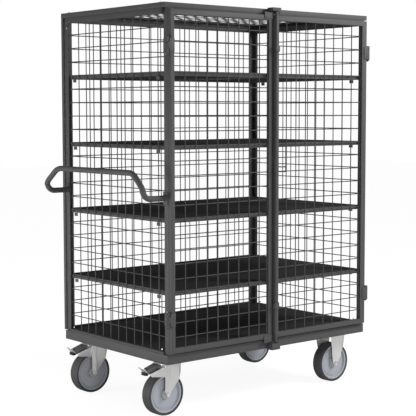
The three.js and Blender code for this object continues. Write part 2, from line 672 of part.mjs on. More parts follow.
// Rod lock: the rod with a nose welded on at each end, its guides, keepers and lever
const noseX = [ROD_X - NOSE_WIDTH / 2, ROD_X + NOSE_WIDTH / 2];
const noseY = [ROD_Y + ROD_RADIUS + SEAT_GAP, ROD_Y + NOSE_REACH];
addPainted('lock_rod', cylinder(ROD_RADIUS, ROD_ENDS, ROD_SEGMENTS).translate(ROD_X, ROD_Y, 0));
addPainted('rod_nose_lower', box(noseX, noseY, NOSE_LOWER));
addPainted('rod_nose_upper', box(noseX, noseY, NOSE_UPPER));

function rodGuide(height) {
  const z = [height - GUIDE_HEIGHT / 2, height + GUIDE_HEIGHT / 2];
  const half = ROD_RADIUS + ROD_PLAY + GUIDE_WALL;
  const bore = cylinder(ROD_RADIUS + ROD_PLAY, [z[0] - GUIDE_WALL, z[1] + GUIDE_WALL], ROD_SEGMENTS);
  const body = box([ROD_X - half, ROD_X + half + GUIDE_FOOT], [ROD_Y - half, -DOOR_THICK - SEAT_GAP], z);
  const step = box([ROD_X + half, ROD_X + half + GUIDE_FOOT * 2],
    [ROD_Y - half * 2, -DOOR_THICK - SEAT_GAP - KEEPER_WALL], [z[0] - GUIDE_WALL, z[1] + GUIDE_WALL]);
  return cut(body, [bore.translate(ROD_X, ROD_Y, 0), step]);
}
addPainted('rod_guide_lower', rodGuide(GUIDE_HEIGHTS[0]));
addPainted('rod_guide_upper', rodGuide(GUIDE_HEIGHTS[1]));

function keeper(block, lip, hollow, back) {
  const lipX = [KEEPER_LIP_START, KEEPER_X[1]];
  const lipY = [KEEPER_FRONT, KEEPER_FRONT + KEEPER_LIP_THICK];
  const solid = join([box(KEEPER_X, [KEEPER_FRONT, back], block), box(lipX, lipY, lip)]);
  const pocketX = [KEEPER_X[0] + KEEPER_WALL, KEEPER_X[1] - KEEPER_WALL];
  return cut(solid, [box(pocketX, [KEEPER_FRONT + KEEPER_WALL, back - KEEPER_WALL], hollow)]);
}
addPainted('lock_keeper_lower', keeper(
  KEEPER_LOWER,
  [KEEPER_LOWER[1] - KEEPER_LIP_THICK, KEEPER_LOWER[1] + KEEPER_LIP_RISE],
  [KEEPER_LOWER[1] - KEEPER_HOLLOW, KEEPER_LOWER[1] + KEEPER_HOLLOW],
  -SEAT_GAP,
));
addPainted('lock_keeper_upper', keeper(
  KEEPER_UPPER,
  [KEEPER_UPPER[0] - KEEPER_LIP_RISE, KEEPER_UPPER[0] + KEEPER_LIP_THICK],
  [KEEPER_UPPER[0] - KEEPER_HOLLOW, KEEPER_UPPER[0] + KEEPER_HOLLOW],
  POST_INSET_Y - SEAT_GAP,
));

function lockLever() {
  const barX = [LEVER_OFFSET - LEVER_BAR_THICK / 2, LEVER_OFFSET + LEVER_BAR_THICK / 2];
  const barY = [-LEVER_BAR_WIDTH / 2, LEVER_BAR_WIDTH / 2];
  const armY = [-LEVER_ARM / 2, LEVER_ARM / 2];
  const arms = LEVER_ARM_HEIGHTS.map((z) => box([0, LEVER_OFFSET], armY, [z, z + LEVER_ARM]));
  const body = join([
    box(barX, barY, LEVER_RANGE),
    cylinder(COLLAR_RADIUS, COLLAR_RANGE, ROD_SEGMENTS),
    ...arms,
  ]);
  const bore = [COLLAR_RANGE[0] - GUIDE_WALL, COLLAR_RANGE[1] + GUIDE_WALL];
  const lever = cut(body, [cylinder(ROD_RADIUS + ROD_PLAY, bore, ROD_SEGMENTS)]);
  return lever.rotateZ(LEVER_TURN).translate(ROD_X, ROD_Y, 0);
}
addPainted('lock_lever', lockLever());

// Castors. Heights here are over the floor, and each wheel turns about a level axle along Y.
const axleHeight = WHEEL_RADIUS;

function tyre() {
  const half = TYRE_WIDTH / 2;
  return turned([
    [TYRE_INNER, -half], [WHEEL_RADIUS - TYRE_EDGE, -half], [WHEEL_RADIUS, -half + TYRE_SHOULDER],
    [WHEEL_RADIUS, half - TYRE_SHOULDER], [WHEEL_RADIUS - TYRE_EDGE, half], [TYRE_INNER, half],
  ], WHEEL_SEGMENTS).rotateX(Math.PI / 2);
}

function rim() {
  const half = RIM_WIDTH / 2;
  const outer = TYRE_INNER - SEAT_GAP;
  return turned([
    [HUB_BORE, -HUB_WIDTH / 2], [HUB_RADIUS, -HUB_WIDTH / 2], [HUB_RADIUS, -RIM_WEB / 2],
    [outer - RIM_LIP, -RIM_WEB / 2], [outer - RIM_LIP, -half], [outer, -half],
    [outer, half], [outer - RIM_LIP, half], [outer - RIM_LIP, RIM_WEB / 2],
    [HUB_RADIUS, RIM_WEB / 2], [HUB_RADIUS, HUB_WIDTH / 2], [HUB_BORE, HUB_WIDTH / 2],
  ], WHEEL_SEGMENTS).rotateX(Math.PI / 2);
}

const legOuter = FORK_GAP / 2 + FORK_PLATE;

function legsAndAxle(front, back) {
  const headSpan = legOuter + AXLE_HEAD;
  return [
    slab('xz', front, [-legOuter, -FORK_GAP / 2]),
    slab('xz', back, [FORK_GAP / 2, legOuter]),
    cylinder(AXLE_RADIUS, [-legOuter, legOuter], AXLE_SEGMENTS).rotateX(Math.PI / 2).translate(0, 0, axleHeight),
    cylinder(AXLE_HEAD_RADIUS, [-headSpan, -legOuter], AXLE_SEGMENTS).rotateX(Math.PI / 2)
      .translate(0, 0, axleHeight),
    cylinder(AXLE_HEAD_RADIUS, [legOuter, headSpan], AXLE_SEGMENTS).rotateX(Math.PI / 2)
      .translate(0, 0, axleHeight),
  ];
}

const plateTop = CASTOR_HEIGHT - SEAT_GAP;
const raceBottom = plateTop - PLATE_THICK - RACE_THICK;
const crownTop = raceBottom - SWIVEL_GAP;

// A leg outline, with its head cut off level at the plate or crown that it joins.
function legOutline(foot, head, top) {
  return [
    ...foot.map(([x, rise]) => [x, axleHeight + rise]),
    ...head.map(([x, drop]) => [x, Math.min(CASTOR_HEIGHT - drop, top)]),
  ];
}

function topPlate() {
  return box([-PLATE_LENGTH / 2, PLATE_LENGTH / 2], [-PLATE_WIDTH / 2, PLATE_WIDTH / 2], [plateTop - PLATE_THICK, plateTop]);
}

function swivelPlate() {
  return join([topPlate(), cylinder(RACE_RADIUS, [raceBottom, plateTop - PLATE_THICK], RACE_SEGMENTS)]);
}

function swivelFork() {
  const crownBottom = crownTop - CROWN_THICK;
  const points = legOutline(SWIVEL_FOOT, SWIVEL_HEAD, crownTop);
  const crown = box([CROWN_START + CASTOR_TRAIL, CROWN_END + CASTOR_TRAIL],
    [-legOuter, legOuter], [crownBottom, crownTop]);
  return join([...legsAndAxle(points, points), crown,
    cylinder(CROWN_BOSS_RADIUS, [crownBottom, crownTop], RACE_SEGMENTS).translate(CASTOR_TRAIL, 0, 0)]);
}

function fixedBracket() {
  const front = legOutline(FIXED_FOOT, FIXED_HEAD, plateTop - PLATE_THICK / 2);
  const back = front.map(([x, z]) => [-x, z]).reverse();
  return join([...legsAndAxle(front, back), topPlate()]);
}

function brakePedal() {
  const half = PEDAL_WIDTH / 2;
  const pinHalf = FORK_GAP / 2 - SEAT_GAP;
  const pin = cylinder(PEDAL_PIN, [-pinHalf, pinHalf], AXLE_SEGMENTS).rotateX(Math.PI / 2);
  const points = PEDAL_OUTLINE.map(([x, drop]) => [x, CASTOR_HEIGHT - drop]);
  return join([
    slab('xz', points, [-half, half]),
    pin.translate(PEDAL_PIVOT[0], 0, CASTOR_HEIGHT - PEDAL_PIVOT[1]),
  ]);
}

const wheelTurn = (geometry, x, y) => geometry.translate(x, y, axleHeight - CASTOR_HEIGHT);
const place = (geometry, x, y) => geometry.translate(x, y, -CASTOR_HEIGHT);

for (const [label, y] of [['front', CASTOR_INSET_Y], ['back', BASE_WIDTH - CASTOR_INSET_Y]]) {
  const swivelX = CASTOR_INSET_X;
  const trailX = swivelX - CASTOR_TRAIL;
  const fixedX = BASE_LENGTH - CASTOR_INSET_X;
  addPart(`castor_plate_${label}_swivel`, place(swivelPlate(), swivelX, y), ZINC, 0.35, 0.8);
  addPart(`castor_fork_${label}_swivel`, place(swivelFork(), trailX, y), ZINC, 0.35, 0.8);
  addPart(`brake_pedal_${label}`, place(brakePedal(), trailX, y), PEDAL_BLACK, 0.5, 0);
  addPart(`wheel_rim_${label}_swivel`, wheelTurn(rim(), trailX, y), RIM_GREY, 0.5, 0);
  addPart(`wheel_tyre_${label}_swivel`, wheelTurn(tyre(), trailX, y), TYRE_GREY, 0.8, 0);
  addPart(`castor_bracket_${label}_fixed`, place(fixedBracket(), fixedX, y), ZINC, 0.35, 0.8);
  addPart(`wheel_rim_${label}_fixed`, wheelTurn(rim(), fixedX, y), RIM_GREY, 0.5, 0);
  addPart(`wheel_tyre_${label}_fixed`, wheelTurn(tyre(), fixedX, y), TYRE_GREY, 0.8, 0);
}

export default trolley;
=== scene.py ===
import math

import bmesh
import bpy
from mathutils import Matrix, Vector


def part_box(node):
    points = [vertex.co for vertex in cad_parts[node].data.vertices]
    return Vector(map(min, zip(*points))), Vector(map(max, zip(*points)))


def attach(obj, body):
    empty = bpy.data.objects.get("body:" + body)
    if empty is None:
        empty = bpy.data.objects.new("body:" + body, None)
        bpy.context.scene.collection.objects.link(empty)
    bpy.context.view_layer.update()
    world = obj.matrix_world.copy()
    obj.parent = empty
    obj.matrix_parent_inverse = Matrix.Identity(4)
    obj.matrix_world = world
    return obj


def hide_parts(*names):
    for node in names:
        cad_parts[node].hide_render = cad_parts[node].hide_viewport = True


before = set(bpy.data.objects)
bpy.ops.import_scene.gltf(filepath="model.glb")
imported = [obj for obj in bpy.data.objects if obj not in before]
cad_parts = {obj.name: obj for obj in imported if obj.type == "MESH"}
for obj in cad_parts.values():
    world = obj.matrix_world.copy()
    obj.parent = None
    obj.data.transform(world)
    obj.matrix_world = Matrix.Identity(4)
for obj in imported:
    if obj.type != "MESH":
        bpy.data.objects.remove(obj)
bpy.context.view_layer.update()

# Camera. It stands off the push handle end, at about three quarters of the trolley's height, and looks
# slightly down. Its place, turn and focal length come from a fit to the trolley's straight edges.
PICTURE_PIXELS = 416
FOCAL_PIXELS = 1192.44
CAMERA_PLACE = (-3.58165, -4.31172, 1.3149)
CAMERA_YAW = math.radians(-39.57)
CAMERA_TILT = math.radians(90 - 4.65)
CAMERA_ROLL = math.radians(-0.10)
view_data = bpy.data.cameras.new("view")
view_data.lens = FOCAL_PIXELS / PICTURE_PIXELS * view_data.sensor_width
view = bpy.data.objects.new("view", view_data)
view.matrix_world = (
    Matrix.Translation(CAMERA_PLACE)
    @ Matrix.Rotation(CAMERA_YAW, 4, "Z")
    @ Matrix.Rotation(CAMERA_TILT, 4, "X")
    @ Matrix.Rotation(CAMERA_ROLL, 4, "Z")
)
bpy.context.scene.collection.objects.link(view)
bpy.context.scene.camera = view

# Base frame. A rim of folded 3 mm steel channel with a flange top and bottom, two bearers for the
# castors and a cross rail, welded and powder coated in textured anthracite.
PAINT = (0.071, 0.071, 0.072, 1)
PAINT_SHEEN_LEVEL = 0.2
CLOUD_DETAIL = 3.0
GRAIN_DETAIL = 2.0
ROUGHNESS_SWING = 0.06
RELIEF_STRENGTH = 0.5
FOLD_RADIUS = 0.0009
EDGE_STEPS = 2
SHARP_ANGLE = math.radians(30)
FLAT_ANGLE = math.radians(1)
SAME_PLACE = 1e-5


def new_group(name, inputs, outputs):
    """A shader node group with its sockets: (name, kind, default) in, and (name, kind) out."""
    group = bpy.data.node_groups.new(name, "ShaderNodeTree")
    for label, kind, default in inputs:
        socket = group.interface.new_socket(label, in_out="INPUT", socket_type=kind)
        if default is not None:
            socket.default_value = default
    for label, kind in outputs:
        group.interface.new_socket(label, in_out="OUTPUT", socket_type=kind)
    return group, group.nodes.new("NodeGroupInput"), group.nodes.new("NodeGroupOutput")


def mottle(group, vector, scale, detail, stretch):
    """Noise of one grain size on the object's own coordinates. Stretch under 1 draws it out along an axis."""
    place = group.nodes.new("ShaderNodeMapping")
    place.inputs["Scale"].default_value = stretch
    noise = group.nodes.new("ShaderNodeTexNoise")
    noise.inputs["Scale"].default_value = scale
    noise.inputs["Detail"].default_value = detail
    group.links.new(vector, place.inputs["Vector"])
    group.links.new(place.outputs["Vector"], noise.inputs["Vector"])
    return noise.outputs["Fac"]


def between(group, mask, low, high):
    """A mask from 0 to 1 turned into values from low to high."""
    spread = group.nodes.new("ShaderNodeMapRange")
    spread.inputs["To Min"].default_value = low
    spread.inputs["To Max"].default_value = high
    group.links.new(mask, spread.inputs["Value"])
    return spread.outputs["Result"]


def shaded(group, colour, amount):
    """A colour made lighter or darker by a value that is 1 where it stays the same."""
    scale = group.nodes.new("ShaderNodeVectorMath")
    scale.operation = "SCALE"
    group.links.new(colour, scale.inputs[0])
    group.links.new(amount, scale.inputs["Scale"])
    return scale.outputs["Vector"]


def finish_group(name, cloud_scale, cloud, grain_scale, grain, roughness, stretch=(1, 1, 1)):
    """A surface finish: its colour drifts in soft clouds, and its grain moves roughness and height."""
    group, given, made = new_group(
        name,
        [("Vector", "NodeSocketVector", None), ("Colour", "NodeSocketColor", (1, 1, 1, 1))],
        [("Colour", "NodeSocketColor"), ("Roughness", "NodeSocketFloat"), ("Height", "NodeSocketFloat")],
    )
    clouds = mottle(group, given.outputs["Vector"], cloud_scale, CLOUD_DETAIL, stretch)
    fine = mottle(group, given.outputs["Vector"], grain_scale, GRAIN_DETAIL, stretch)
    tint = group.nodes.new("ShaderNodeMath")
    tint.operation = "MULTIPLY"
    group.links.new(between(group, clouds, 1 - cloud, 1 + cloud), tint.inputs[0])
    group.links.new(between(group, fine, 1 - grain, 1 + grain), tint.inputs[1])
    group.links.new(shaded(group, given.outputs["Colour"], tint.outputs["Value"]), made.inputs["Colour"])
    rough = between(group, fine, roughness - ROUGHNESS_SWING, roughness + ROUGHNESS_SWING)
    group.links.new(rough, made.inputs["Roughness"])
    group.links.new(fine, made.inputs["Height"])
    return group


def surfaced(name, group, colour, relief, **shine):
    """A material on object coordinates: a finish group for its colour, roughness and relief."""
    material = bpy.data.materials.new(name)
    material.use_nodes = True
    tree = material.node_tree
    shader = tree.nodes["Principled BSDF"]
    place = tree.nodes.new("ShaderNodeTexCoord")
    finish = tree.nodes.new("ShaderNodeGroup")
    finish.node_tree = group
    finish.inputs["Colour"].default_value = colour
    bump = tree.nodes.new("ShaderNodeBump")
    bump.inputs["Strength"].default_value = RELIEF_STRENGTH
    bump.inputs["Distance"].default_value = relief
    tree.links.new(place.outputs["Object"], finish.inputs["Vector"])
    tree.links.new(finish.outputs["Colour"], shader.inputs["Base Color"])
    tree.links.new(finish.outputs["Roughness"], shader.inputs["Roughness"])
    tree.links.new(finish.outputs["Height"], bump.inputs["Height"])
    tree.links.new(bump.outputs["Normal"], shader.inputs["Normal"])
    for label, value in shine.items():
        shader.inputs[label.replace("_", " ")].default_value = value
    return material


powder_coat = finish_group(
    "powder_coat", cloud_scale=2.2, cloud=0.10, grain_scale=1300, grain=0.10, roughness=0.60,
)
paint = surfaced("paint_anthracite", powder_coat, PAINT, relief=0.00008, Specular_IOR_Level=PAINT_SHEEN_LEVEL)


def put_in(name, shape, material, body, slot, *nodes):
    """Makes a finished shape a piece with its material and body, and hides the CAD nodes it stands for. The
    slot is not used.
    """
    mesh = bpy.data.meshes.new(name)
    shape.to_mesh(mesh)
    shape.free()
    mesh.polygons.foreach_set("use_smooth", [True] * len(mesh.polygons))
    mesh.set_sharp_from_angle(angle=SHARP_ANGLE)
    mesh.materials.append(material)
    piece = bpy.data.objects.new(name, mesh)
    bpy.context.scene.collection.objects.link(piece)
    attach(piece, body)
    if nodes:
        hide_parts(*nodes)


def eased(shape, edges, width):
    """Rounds the given edges of a shape."""
    bmesh.ops.bevel(
        shape, geom=list(edges), offset=width, segments=EDGE_STEPS, profile=0.5,
        affect="EDGES", material=-1, clamp_overlap=True, offset_type="OFFSET",
    )


def folded(node, radius=FOLD_RADIUS):
    """A copy of a CAD node's solid with its faces whole again and its edges rounded."""
    shape = bmesh.new()
    shape.from_mesh(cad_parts[node].data)
    bmesh.ops.remove_doubles(shape, verts=shape.verts, dist=SAME_PLACE)
    bmesh.ops.dissolve_limit(shape, angle_limit=FLAT_ANGLE, verts=shape.verts, edges=shape.edges)
    sharp = [e for e in shape.edges if e.is_manifold and e.calc_face_angle(0) > SHARP_ANGLE]
    eased(shape, sharp, radius)
    return shape


put_in("base_channel", folded("base_frame"), paint, "trolley", "paint", "base_frame")

# Corner posts. Four unequal angles folded from 3 mm steel, bolted to the base rim at the foot and to
# the roof angle at the head.
for corner in ("front_left", "front_right", "back_left", "back_right"):
    node = "post_" + corner
    put_in("corner_angle_" + corner, folded(node), paint, "trolley", "paint", node)

# Roof frame. A ring of angle with mitred corners that laps over the posts, welded up and coated with
# the rest of the cage.
put_in("roof_angle", folded("roof_frame"), paint, "trolley", "paint", "roof_frame")

# Deck board and shelf boards. Plywood with a black film face, cut square and dropped loose into the
# base and the shelf trays.
BOARD = (0.034, 0.034, 0.0345, 1)
BOARD_EDGE = 0.0005
SHELF_LEVELS = (1, 2, 3, 4)
board_film = finish_group(
    "board_film", cloud_scale=6.0, cloud=0.12, grain_scale=700, grain=0.10, roughness=0.80,
    stretch=(0.35, 1, 1),
)
board = surfaced("board_black", board_film, BOARD, relief=0.00006, Specular_IOR_Level=0.06)
for node in ["deck_board"] + ["shelf_%d_board" % level for level in SHELF_LEVELS]:
    put_in(node + "_film", folded(node, BOARD_EDGE), board, "trolley", "board", node)

# Shelf trays. Folded steel rims that stand up round the board, with a ledge under it, a rib across
# the middle and a tab screwed to each post.
TRAY_FOLD = 0.0007
SHELF_LIP = 0.019
TAB_DROP = 0.015
TAB_THICK = 0.003
TAB_IN = 0.059
TAB_WIDTH = 0.024
PLATE_EDGE = 0.0006


def plate(shape, low, high, edge=PLATE_EDGE):
    """A plate or bar between two corners, with eased edges."""
    low, high = Vector(low), Vector(high)
    place = Matrix.Translation((low + high) / 2) @ Matrix.Diagonal((*(high - low), 1))
    made = bmesh.ops.create_cube(shape, size=1.0, matrix=place)
    eased(shape, {e for v in made["verts"] for e in v.link_edges}, edge)


for level in SHELF_LEVELS:
    node = "shelf_%d_frame" % level
    low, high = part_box(node)
    tab_top = high.z - SHELF_LIP
    shape = folded(node, TRAY_FOLD)
    for x in (low.x, high.x - TAB_THICK):
        for y in (low.y + TAB_IN, high.y - TAB_IN - TAB_WIDTH):
            plate(shape, (x, y, tab_top - TAB_DROP), (x + TAB_THICK, y + TAB_WIDTH, tab_top))
    put_in("shelf_%d_tray" % level, shape, paint, "trolley", "paint", node)

# Door and back panel frames. Flat steel section, mitred and welded at the corners, with the wire
# mesh let into a groove all round.
SECTION_FOLD = 0.0012
for node, body in (
    ("door_left_frame", "door_left"),
    ("door_right_frame", "door_right"),
    ("back_panel_frame", "trolley"),
):
    put_in(node.replace("frame", "section"), folded(node, SECTION_FOLD), paint, body, "paint", node)

# End meshes. Round steel wires, uprights outside and level wires inside them, welded where they cross
# and then coated. Each has a flat border, with a bar across its foot and its head that closes the gap
# to the base and the roof.
MESH_PAINT = (0.062, 0.062, 0.063, 1)
WIRE_RADIUS = 0.00225
WIRE_SIDES = 8
WIRE_SINK = 0.0035
WIRE_PITCH = 0.060
ROW_PITCH = 0.0623
ROWS = 22
mesh_paint = surfaced(
    "paint_wire", powder_coat, MESH_PAINT, relief=0.00004, Specular_IOR_Level=PAINT_SHEEN_LEVEL,
)


def wires(shape, first, step, count, run, radius=WIRE_RADIUS):
    """A row of equal straight wires, the first from one point along run, the others one step apart."""
    run = Vector(run)
    turn = run.to_track_quat("Z", "Y").to_matrix().to_4x4()
    for i in range(count):
        middle = Vector(first) + Vector(step) * i + run / 2
        bmesh.ops.create_cone(
            shape, cap_ends=True, segments=WIRE_SIDES, radius1=radius, radius2=radius,
            depth=run.length, matrix=Matrix.Translation(middle) @ turn,
        )


def upright_mesh(node, along, outside, first, pitch, count, first_row):
    """The wires of one upright panel, level along axis 0 or 1, with the uprights on the side of outside."""
    low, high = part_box(node)
    across = 1 - along
    shape = bmesh.new()
    start = low.copy()
    start[across] = (low[across] + high[across]) / 2
    start[along] += first
    step = Vector()
    step[along] = pitch
    wires(shape, start, step, count, (0, 0, high.z - low.z))
    start = low.copy()
    start[across] = (low[across] + high[across]) / 2 - outside * WIRE_SINK
    start.z += first_row
    run = Vector()
    run[along] = high[along] - low[along]
    wires(shape, start, (0, 0, ROW_PITCH), ROWS, run)
    return shape


END_FIRST = 0.060
END_UPRIGHTS = 12
END_FIRST_ROW = 0.0737
END_BORDER = 0.011
END_FOOT = 0.010
END_FOOT_OUT = 0.0118
END_BAR = 0.025
END_BAR_OUT = 0.0179
END_BAR_LAP = 0.004
END_BAR_IN = 0.0145
for side, outside in (("left", -1), ("right", 1)):
    node = "end_mesh_" + side
    low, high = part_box(node)
    shape = upright_mesh(node, 1, outside, END_FIRST, WIRE_PITCH, END_UPRIGHTS, END_FIRST_ROW)
    plate(shape, (low.x, low.y, high.z - END_BAR), high)
    plate(
        shape, (min(high.x, low.x + outside * END_BAR_OUT), low.y + END_BAR_IN, high.z - END_BAR),
        (max(low.x, high.x + outside * END_BAR_OUT), high.y - END_BAR_IN, high.z + END_BAR_LAP),
    )
    plate(
        shape, (min(low.x, low.x + outside * END_FOOT_OUT), low.y + END_BAR_IN, low.z),
        (max(high.x, high.x + outside * END_FOOT_OUT), high.y - END_BAR_IN, low.z + END_FOOT),
    )
    for y in (low.y, high.y - END_BORDER):
        plate(shape, (low.x, y, low.z + END_FOOT), (high.x, y + END_BORDER, high.z - END_BAR))
    put_in("end_wires_" + side, shape, mesh_paint, "trolley", "paint", node)

# Door and back meshes. The same wires without a border of their own, with their ends welded into the
# frames' grooves.
DOOR_LEFT_FIRST = 0.0670
DOOR_RIGHT_FIRST = 0.0589
DOOR_UPRIGHTS = 8
DOOR_FIRST_ROW = 0.0505
BACK_FIRST = 0.0165
BACK_PITCH = 0.0605
BACK_UPRIGHTS = 19
BACK_FIRST_ROW = 0.0665
for node, body, outside, first, pitch, count, first_row in (
    ("door_left_mesh", "door_left", -1, DOOR_LEFT_FIRST, WIRE_PITCH, DOOR_UPRIGHTS, DOOR_FIRST_ROW),
    ("door_right_mesh", "door_right", -1, DOOR_RIGHT_FIRST, WIRE_PITCH, DOOR_UPRIGHTS, DOOR_FIRST_ROW),
    ("back_panel_mesh", "trolley", 1, BACK_FIRST, BACK_PITCH, BACK_UPRIGHTS, BACK_FIRST_ROW),
):
    shape = upright_mesh(node, 0, outside, first, pitch, count, first_row)
    put_in(node.replace("mesh", "wires"), shape, mesh_paint, body, "paint", node)

# Roof mesh. Thinner wires, the long ones under the cross ones, welded where they cross and to the
# underside of the roof angle.
ROOF_WIRE_RADIUS = 0.0016
ROOF_WIRE_SINK = 0.0026
CROSS_FIRST = 0.050
CROSS_WIRES = 19
LONG_FIRST = 0.0597
LONG_WIRES = 12
low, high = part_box("roof_mesh")
shape = bmesh.new()
middle = (low.z + high.z) / 2
wires(
    shape, (low.x + CROSS_FIRST, low.y, middle), (WIRE_PITCH, 0, 0), CROSS_WIRES,
    (0, high.y - low.y, 0), ROOF_WIRE_RADIUS,
)
wires(
    shape, (low.x, low.y + LONG_FIRST, middle - ROOF_WIRE_SINK), (0, WIRE_PITCH, 0), LONG_WIRES,
    (high.x - low.x, 0, 0), ROOF_WIRE_RADIUS,
)
put_in("roof_wires", shape, mesh_paint, "trolley", "paint", "roof_mesh")

# Push handle. One 25 mm steel tube bent six times, with a flange welded on each end and bolted
# through the post.
TUBE_RADIUS = 0.0125
TUBE_SIDES = 20
HANDLE_LOW = 0.950
HANDLE_RISE = 0.041
HANDLE_END_IN = 0.020
GRIP_RISE = 0.106
GRIP_IN = 0.078
GRIP_BACK = 0.007
BEND_CUTS = (0.038, 0.015, 0.030)
BEND_STEP_DEGREES = 7
BEND_STEPS_LEAST = 4
FLANGE_THICK = 0.004
FLANGE_WIDTH = 0.030
FLANGE_HEIGHT = 0.056
FLANGE_SHIFT = 0.005
SEAT_GAP = 0.0003


def verts_of(made):
    """The vertices among the new parts that an operator gives back."""
    return [part for part in made if isinstance(part, bmesh.types.BMVert)]


def bent_tube(shape, stops, cuts):
    """A closed tube through the stops, with a bend at each inner one that starts a cut's length before it."""
    stops = [Vector(s) for s in stops]
    heading = (stops[1] - stops[0]).normalized()
    place = Matrix.Translation(stops[0]) @ heading.to_track_quat("Z", "X").to_matrix().to_4x4()
    ring = bmesh.ops.create_circle(
        shape, cap_ends=False, segments=TUBE_SIDES, radius=TUBE_RADIUS, matrix=place,
    )
    rim = list({e for v in ring["verts"] for e in v.link_edges})
    first_rim = rim
    at = stops[0]
    for i in range(1, len(stops)):
        last = i == len(stops) - 1
        end = stops[i] if last else stops[i] - heading * cuts[i - 1]
        grown = bmesh.ops.extrude_edge_only(shape, edges=rim)["geom"]
        bmesh.ops.translate(shape, vec=end - at, verts=verts_of(grown))
        rim = [g for g in grown if isinstance(g, bmesh.types.BMEdge) and len(g.link_faces) == 1]
        at = end
        if last:
            break
        onward = (stops[i + 1] - stops[i]).normalized()
        axis = heading.cross(onward).normalized()
        angle = heading.angle(onward)
        centre = at + axis.cross(heading) * cuts[i - 1] / math.tan(angle / 2)
        turned = bmesh.ops.spin(
            shape, geom=rim, cent=centre, axis=axis, dvec=(0, 0, 0), angle=angle,
            steps=max(BEND_STEPS_LEAST, round(math.degrees(angle) / BEND_STEP_DEGREES)),
            use_merge=False, use_duplicate=False,
        )["geom_last"]
        rim = [g for g in turned if isinstance(g, bmesh.types.BMEdge)]
        at = stops[i] + onward * cuts[i - 1]
        heading = onward
    bmesh.ops.contextual_create(shape, geom=rim)
    bmesh.ops.contextual_create(shape, geom=first_rim)
    bmesh.ops.recalc_face_normals(shape, faces=shape.faces)


low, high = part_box("push_handle")
post_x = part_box("post_front_left")[0].x
reach_x = low.x + TUBE_RADIUS
front_y = low.y + HANDLE_END_IN
back_y = high.y - HANDLE_END_IN
half = [
    (post_x - FLANGE_THICK, front_y, HANDLE_LOW),
    (reach_x, front_y, HANDLE_LOW),
    (reach_x, front_y, HANDLE_LOW + HANDLE_RISE),
    (reach_x + GRIP_BACK, front_y + GRIP_IN, HANDLE_LOW + GRIP_RISE),
]
other = [(x, front_y + back_y - y, z) for x, y, z in reversed(half)]
shape = bmesh.new()
bent_tube(shape, half + other, BEND_CUTS + BEND_CUTS[::-1])
for middle in (front_y - FLANGE_SHIFT, back_y + FLANGE_SHIFT):
    plate(
        shape,
        (post_x - SEAT_GAP - FLANGE_THICK, middle - FLANGE_WIDTH / 2, HANDLE_LOW - FLANGE_HEIGHT / 2),
        (post_x - SEAT_GAP, middle + FLANGE_WIDTH / 2, HANDLE_LOW + FLANGE_HEIGHT / 2),
    )
put_in("push_bar", shape, paint, "trolley", "paint", "push_handle")

# Hinges. Lift-off barrel hinges: a leaf with two knuckles and the pin on each post, a leaf with one
# knuckle on each door, screwed on and coated.
HINGE_EDGE = 0.0005
for side in ("left", "right"):
    for place in ("lower", "upper"):
        name = "hinge_%s_%s" % (side, place)
        node = name + "_post_leaf"
        put_in(name + "_barrels", folded(node, HINGE_EDGE), paint, "trolley", "paint", node)
        node = name + "_door_leaf"
        put_in(name + "_knuckle", folded(node, HINGE_EDGE), paint, "door_" + side, "paint", node)

# Stop plates. Two flat plates on the left door that the right door closes against, screwed to the
# face of the meeting stile.
STOP_EDGE = 0.0006
for place in ("lower", "upper"):
    node = "door_stop_plate_" + place
    put_in("stop_" + place, folded(node, STOP_EDGE), paint, "door_left", "paint", node)

# Rod lock. A round rod down the meeting stile of the right door, held by two guides and turned by a
# lever, with a welded nose at each end that swings behind a keeper on the base and on the roof.
LOCK_EDGE = 0.0008
for node, body in (
    ("lock_rod", "lock"),
    ("rod_nose_lower", "lock"),
    ("rod_nose_upper", "lock"),
    ("lock_lever", "lock"),
    ("rod_guide_lower", "door_right"),
    ("rod_guide_upper", "door_right"),
    ("lock_keeper_lower", "trolley"),
    ("lock_keeper_upper", "trolley"),
):
    put_in(node + "_steel", folded(node, LOCK_EDGE), paint, body, "paint", node)

# Castor housings. Pressed steel top plates, forks and fixed brackets, zinc plated bright and bolted
# under the base bearers. Each leg is one sheet, with ribs pressed down it to the axle.
ZINC = (0.72, 0.72, 0.705, 1)
TOP_PLATE_EDGE = 0.0010
LEG_OUTER = 0.034
LEG_SHEET = 0.003
LEG_EDGE = 0.0007
AXLE_RADIUS = 0.006
BOLT_RADIUS = 0.009
BOLT_HEAD = 0.0095
BOLT_EDGE = 0.0010
SOCKET_RIM = 0.38
SOCKET_DEPTH = 0.005
CROWN_START = -0.028
CROWN_END = 0.082
CROWN_THICK = 0.005
CROWN_EDGE = 0.0012
ROUND_SIDES = 20
HEX_SIDES = 6
BAR_EDGE = 0.0006
SEAM_GAP = 1e-6
FORK_OUTLINE = [
    (-0.013, -0.149), (-0.005, -0.158), (0.008, -0.158), (0.016, -0.146), (0.064, -0.081), (0.075, -0.057),
    (0.079, -0.016), (0.000, -0.016), (-0.022, -0.024), (-0.094, -0.048), (-0.085, -0.061), (-0.013, -0.070),
]
FORK_PRESSING = [
    (-0.094, 0.0), (-0.030, 0.0045), (-0.016, 0.0045), (-0.008, -0.0020), (-0.005, -0.0020), (0.003, 0.0060),
    (0.011, 0.0060), (0.018, 0.0000), (0.046, 0.0040), (0.060, 0.0065), (0.079, -0.0060),
]
BRACKET_OUTLINE = [
    (-0.017, -0.145), (-0.008, -0.163), (0.008, -0.163), (0.018, -0.145), (0.044, -0.099), (0.084, -0.026),
    (0.092, -0.010), (0.092, -0.005), (-0.027, -0.005), (-0.026, -0.030), (-0.021, -0.099),
]
BRACKET_PRESSING = [
    (-0.027, -0.0010), (-0.012, 0.0030), (0.034, 0.0055), (0.040, 0.0005), (0.056, -0.0020), (0.092, -0.0240),
]
plating = finish_group(
    "zinc_plating", cloud_scale=18.0, cloud=0.07, grain_scale=420, grain=0.05, roughness=0.34,
)
